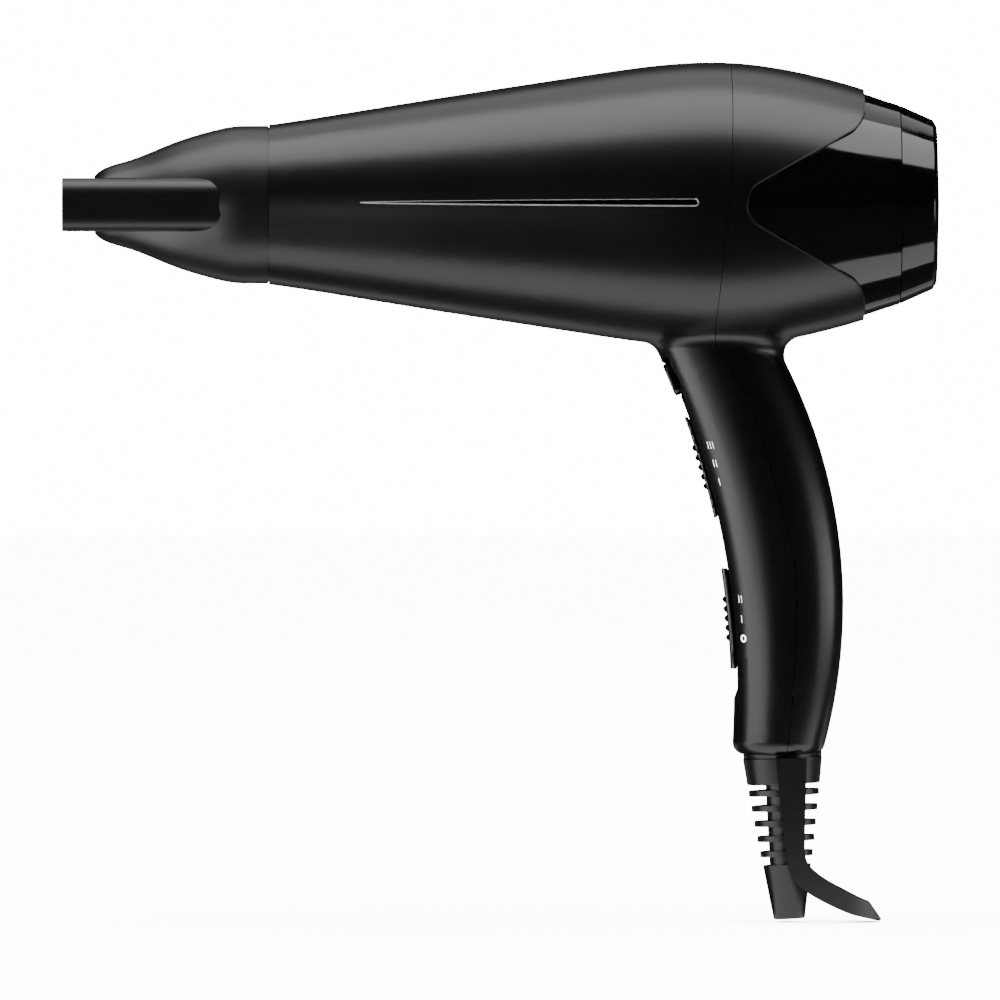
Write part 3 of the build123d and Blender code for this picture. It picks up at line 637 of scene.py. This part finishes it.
reliefShoulder = {
    "inset": 0.00012,        # inside the collar's rim
    "tilt": 2.45,            # lean of the strain relief, degrees
    "below": 0.0014,         # down into the collar
    "above": 0.002,          # up into the foot of the grip
    "stations": 96,
}


def layReliefShoulder():
    low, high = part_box("strain_relief")
    tilt = math.radians(reliefShoulder["tilt"])
    across = Vector((math.cos(tilt), 0, math.sin(tilt)))
    upward = Vector((-math.sin(tilt), 0, math.cos(tilt)))
    centre = Vector(((low.x + high.x) / 2, (low.y + high.y) / 2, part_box("housing_front")[0].z))
    radius = (high.y - low.y) / 2 - reliefShoulder["inset"]
    count = reliefShoulder["stations"]
    verts, faces = [], []
    for step in range(count):
        angle = math.tau * step / count
        rim = centre + across * (radius * math.cos(angle)) + Vector((0, radius * math.sin(angle), 0))
        verts += [rim - upward * reliefShoulder["below"], rim + upward * reliefShoulder["above"]]
    for step in range(count):
        at, after = 2 * step, 2 * ((step + 1) % count)
        faces.append((at, after, after + 1, at + 1))
    faces.append([2 * step for step in reversed(range(count))])
    faces.append([2 * step + 1 for step in range(count)])
    shoulder = meshObject("reliefShoulder", verts, faces)
    for face in shoulder.data.polygons:
        face.use_smooth = len(face.vertices) == 4
    shoulder.data.materials.append(materials["relief_rubber"])
    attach(shoulder, "dryer")


ink = inkMaterial()
bpy.context.view_layer.update()
for sliderName in ("heat_slider", "speed_slider"):
    printMarks(sliderName)
coolIcon()
print("marks printed")
accentSides = [accentOutline(-1), accentOutline(1)]
bead = layBead("accentBead", accentSides, accentBead["radius"], materials["bright_trim"])
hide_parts("accent_edge")
lipSides = [lipOutline(-1), lipOutline(1)]
lip = layBead("shellLip", lipSides, shellLip["radius"], materials["soft_shell"])
print("accent bead and shell lip laid")
for sliderName in ("heat_slider", "speed_slider"):
    layFoot(sliderName)
laySeamRing()
layReliefShoulder()
print("slider feet, seam ring and relief shoulder laid")


staging = {
    "floorSize": 14.0,
    "floorColour": (0.9, 0.9, 0.9),
    "floorDrop": 0.0004,
    "cameraDistance": 6.0,
    "cameraPitch": 0.92,
    "cameraYaw": -0.4,
    "cameraLens": 663.0,
    "lookX": -0.0918,
    "lookZ": 0.0169,
    "roomLight": 16.0,
    "roomReflection": 0.015,
    "floorReflection": 0.003,
    "floorRoughness": 0.9,
    "floorShine": 0.1,
    "sensorWidth": 36,
    "clipEnd": 60,
}


def layFloor():
    half = staging["floorSize"] / 2
    low = cadBox[0].z - staging["floorDrop"]
    corners = [(-half, -half, low), (half, -half, low), (half, half, low), (-half, half, low)]
    floor = meshObject("paleFloor", corners, [(0, 1, 2, 3)])
    material, tree, shader = startMaterial("paleFloor")
    colour = (*staging["floorColour"], 1)
    dim = tuple(v * staging["floorReflection"] for v in staging["floorColour"]) + (1,)
    path = addNode(tree, "ShaderNodeLightPath")
    tone = addNode(tree, "ShaderNodeMix", data_type="RGBA")
    tone.inputs["A"].default_value = colour
    tone.inputs["B"].default_value = dim
    tree.links.new(path.outputs["Is Glossy Ray"], tone.inputs["Factor"])
    tree.links.new(tone.outputs["Result"], shader.inputs["Base Color"])
    shader.inputs["Roughness"].default_value = staging["floorRoughness"]
    shader.inputs["Specular IOR Level"].default_value = staging["floorShine"]
    floor.data.materials.append(material)
    return floor


softboxes = {
    # name: centre, point it faces, width, height, watts
    "overheadFront": ((0.3, -0.22, 1.5), (0.3, -0.22, 0.0), 3.2, 1.2, 56),
    "overheadBack": ((0.0, 1.0, 1.5), (0.0, 1.0, 0.0), 1.7, 1.2, 8),
    "leftFront": ((-1.0, -1.02, -0.035), (0.0, -0.02, 0.03), 0.8, 0.17, 2.9),
    "leftSide": ((-1.38, -0.42, 0.0), (0.0, -0.02, 0.03), 0.65, 0.24, 2.1),
    "rightWall": ((1.29, -0.22, 0.0), (0.0, -0.02, 0.03), 1.12, 0.38, 4.6),
    "lowFront": ((0.02, -0.07, -0.1195), (0.02, -0.07, 1.0), 0.62, 0.14, 0.56),
    "lowBack": ((0.02, 0.25, -0.1195), (0.02, 0.25, 1.0), 0.62, 0.14, 0.15),
    "lowLeft": ((-0.72, -0.14, -0.1195), (-0.72, -0.14, 1.0), 0.8, 0.36, 3.8),
    "lowLeftFront": ((-0.64, -0.47, -0.1195), (-0.64, -0.47, 1.0), 0.42, 0.3, 1.4),
}


def hangLights():
    hung = []
    for name, (centre, target, width, height, power) in softboxes.items():
        light = bpy.data.lights.new(name, "AREA")
        light.shape = "RECTANGLE"
        light.size = width
        light.size_y = height
        light.energy = power
        obj = bpy.data.objects.new(name, light)
        bpy.context.scene.collection.objects.link(obj)
        obj.location = centre
        obj.rotation_mode = "QUATERNION"
        obj.rotation_quaternion = (Vector(target) - Vector(centre)).to_track_quat("-Z", "Y")
        obj.visible_camera = False
        hung.append(obj)
    return hung


def paintWorld():
    world = bpy.data.worlds.new("paleStudio")
    bpy.context.scene.world = world
    world.use_nodes = True
    tree = world.node_tree
    back = next(n for n in tree.nodes if n.type == "BACKGROUND")
    back.inputs["Color"].default_value = (1, 1, 1, 1)
    path = addNode(tree, "ShaderNodeLightPath")
    # glossy rays see a dim room, so the softboxes shape the black
    level = addNode(tree, "ShaderNodeMapRange")
    tree.links.new(path.outputs["Is Glossy Ray"], level.inputs["Value"])
    level.inputs["To Min"].default_value = staging["roomLight"]
    level.inputs["To Max"].default_value = staging["roomReflection"]
    tree.links.new(level.outputs["Result"], back.inputs["Strength"])


def placeCamera():
    camera = bpy.data.cameras.new("camera")
    camera.lens = staging["cameraLens"]
    camera.sensor_width = staging["sensorWidth"]
    obj = bpy.data.objects.new("camera", camera)
    bpy.context.scene.collection.objects.link(obj)
    aim = Vector((staging["lookX"], 0, staging["lookZ"]))
    pitch = math.radians(staging["cameraPitch"])
    yaw = math.radians(staging["cameraYaw"])
    back = Vector((math.sin(yaw) * math.cos(pitch), -math.cos(yaw) * math.cos(pitch), math.sin(pitch)))
    obj.location = aim + back * staging["cameraDistance"]
    obj.rotation_mode = "QUATERNION"
    obj.rotation_quaternion = (-back).to_track_quat("-Z", "Y")
    camera.clip_end = staging["clipEnd"]
    bpy.context.scene.camera = obj


floor = layFloor()
hangLights()
paintWorld()
placeCamera()
print("stage, lights and camera placed")
